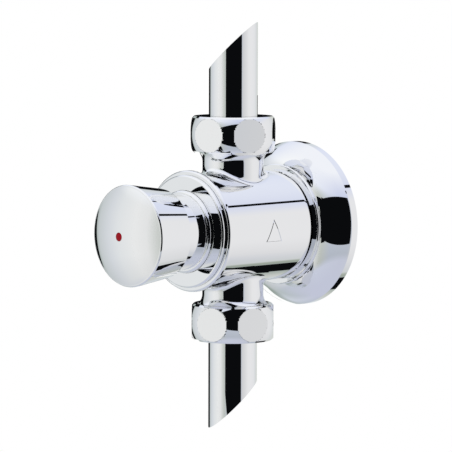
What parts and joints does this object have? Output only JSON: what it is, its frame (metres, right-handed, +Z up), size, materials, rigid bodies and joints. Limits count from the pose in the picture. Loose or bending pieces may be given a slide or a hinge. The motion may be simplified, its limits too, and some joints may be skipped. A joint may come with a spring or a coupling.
{
  "type": "timed shower valve",
  "caption": "Exposed push-button timed shower valve with a round wall flange, tee body and union nuts on vertical pipes.",
  "frame": {"origin": "centre of the wall face, on the valve's axis, where the wall plate and the flange's rim meet the wall", "axes": "+Y into the wall along the valve's axis, -Y towards the button, +Z up along the outlet pipe, +X to the right seen from the button"},
  "size_m": [0.0614, 0.0909, 0.1502],
  "materials": {
    "polished_chrome": "bright polished chrome plate on brass",
    "turned_brass": "machined brass, bare",
    "spring_steel": "drawn stainless steel",
    "zinc_plate": "zinc-plated steel",
    "seal_rubber": "black nitrile rubber",
    "white_acetal": "moulded acetal",
    "red_enamel": "glossy red"
  },
  "bodies": {
    "valve": {"wall_plate": "zinc_plate", "wall_flange": "polished_chrome", "trim_ring": "polished_chrome", "valve_body": "polished_chrome", "seat_ring": "turned_brass", "cartridge_liner": "turned_brass", "head_gasket": "seal_rubber", "head_collar": "polished_chrome", "gland_seal": "seal_rubber", "retaining_ring": "polished_chrome", "return_spring": "spring_steel", "outlet_washer": "seal_rubber", "outlet_pipe_collar": "turned_brass", "outlet_nut": "polished_chrome", "outlet_pipe": "polished_chrome", "inlet_washer": "seal_rubber", "inlet_pipe_collar": "turned_brass", "inlet_nut": "polished_chrome", "inlet_pipe": "polished_chrome", "inlet_strainer": "white_acetal"},
    "thrust": {"spring_washer": "white_acetal"},
    "plunger": {"push_button": "polished_chrome", "red_indicator": "red_enamel", "stem": "spring_steel", "stem_locknut": "turned_brass", "piston": "white_acetal", "piston_cup": "seal_rubber", "timing_jet": "turned_brass", "piston_nut": "turned_brass", "valve_disc": "turned_brass", "valve_washer": "seal_rubber", "disc_nut": "turned_brass"}
  },
  "joints": [
    {"name": "button_press", "type": "slide", "parent": "valve", "child": "thrust", "axis": [0, 1, 0], "range_m": [0, 0.008], "stiffness_N_per_m": 450, "springref_m": -0.012, "deforming": ["return_spring"]},
    {"name": "button_spin", "type": "hinge", "parent": "thrust", "child": "plunger", "pos_m": [0, -0.0284, 0], "axis": [0, 1, 0], "continuous": true}
  ]
}
